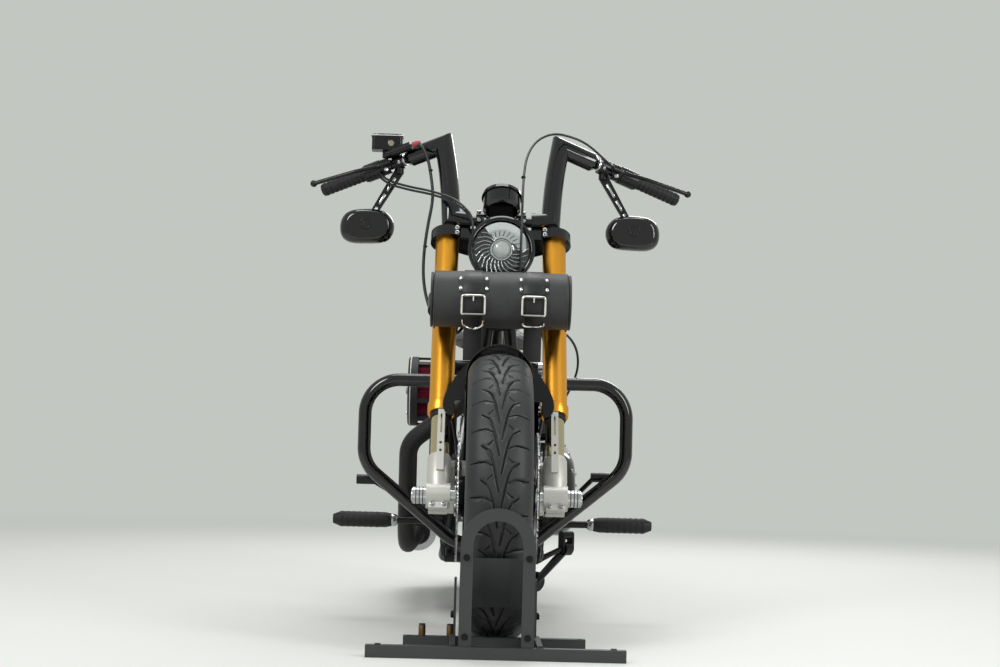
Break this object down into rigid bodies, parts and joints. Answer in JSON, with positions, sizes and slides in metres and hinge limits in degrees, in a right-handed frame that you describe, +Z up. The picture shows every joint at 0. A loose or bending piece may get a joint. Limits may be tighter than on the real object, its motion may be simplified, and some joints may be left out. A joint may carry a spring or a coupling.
{
  "type": "custom cruiser motorcycle in a front wheel chock",
  "caption": "Black custom cruiser motorcycle with gold upside-down fork, fat mitred bar and tool roll, held upright by a floor chock; wheels, steering and side stand move.",
  "frame": {"origin": "on the floor below the middle of the whole length, in the centre plane", "axes": "+Z up, the bike faces -Y, its left side is +X"},
  "size_m": [0.974, 2.1854, 1.2275],
  "materials": {
    "gold_tube": "satin gold anodised",
    "stanchion": "polished champagne",
    "casting_silver": "satin cast",
    "axle_steel": "turned",
    "black_gloss": "gloss black",
    "black_satin": "satin black",
    "engine_black": "wrinkle black",
    "chrome": "polished",
    "exhaust_black": "matt black ceramic",
    "disc_steel": "ground",
    "tyre_rubber": "matt",
    "rubber": "matt",
    "leather": "black leather",
    "glass": "clear",
    "mirror": "silvered",
    "lamp_inner": "grey",
    "filter_red": "dark red gauze",
    "chock_steel": "satin black"
  },
  "bodies": {
    "front_end": {"fork_tubes": "gold_tube", "fork_stanchions": "stanchion", "fork_bottoms": "casting_silver", "fork_caps": "black_satin", "front_calipers": "casting_silver", "front_axle": "axle_steel", "top_clamp": "black_satin", "bottom_clamp": "black_satin", "handlebar": "black_gloss", "bar_risers": "black_satin", "grips": "rubber", "clutch_controls": "black_satin", "brake_controls": "black_satin", "levers": "black_satin", "mirror_arms": "black_satin", "mirror_shells": "black_satin", "mirror_glasses": "mirror", "headlight_shell": "black_satin", "headlight_bezel": "black_satin", "headlight_unit": "lamp_inner", "headlight_lens": "glass", "speedometer": "black_satin", "tool_roll": "leather", "bag_straps": "leather", "bag_buckles": "chrome", "front_fender": "black_gloss", "fender_plates": "black_satin", "control_lines": "rubber", "wheel_chock": "chock_steel"},
    "front_wheel": {"front_tyre": "tyre_rubber", "front_rim": "black_satin", "front_discs": "disc_steel"},
    "chassis": {"frame": "black_satin", "engine_guard": "black_satin", "crankcase": "engine_black", "cylinders": "engine_black", "rocker_covers": "engine_black", "pushrod_tubes": "chrome", "primary_cover": "black_gloss", "air_cleaner": "engine_black", "air_filter": "filter_red", "exhaust": "exhaust_black", "fuel_tank": "black_gloss", "tank_cap": "black_gloss", "seat": "leather", "rear_fender": "black_gloss", "swingarm": "black_satin", "shocks": "chrome", "drive_belt": "rubber", "foot_controls": "black_satin", "footpegs": "rubber", "side_covers": "black_gloss", "tail_lamps": "black_satin", "regulator": "black_satin", "clutch_cable": "rubber"},
    "rear_wheel": {"rear_tyre": "tyre_rubber", "rear_rim": "black_satin", "rear_disc": "disc_steel", "rear_pulley": "black_satin"},
    "side_stand": {"side_stand": "black_satin"}
  },
  "joints": [
    {"name": "front_wheel_spin", "type": "hinge", "parent": "front_end", "child": "front_wheel", "pos_m": [0, -0.73525, 0.32], "axis": [1, 0, 0], "continuous": true},
    {"name": "steering", "type": "hinge", "parent": "front_end", "child": "chassis", "pos_m": [0, -0.43719, 0.74836], "axis": [0, 0.5, 0.866], "range_deg": [-32, 32]},
    {"name": "rear_wheel_spin", "type": "hinge", "parent": "chassis", "child": "rear_wheel", "pos_m": [0, 0.76975, 0.323], "axis": [1, 0, 0], "continuous": true},
    {"name": "side_stand_swing", "type": "hinge", "parent": "chassis", "child": "side_stand", "pos_m": [0.19, -0.17525, 0.18], "axis": [-0.8015, -0.5979, -0.0108], "range_deg": [0, 96.04]}
  ]
}
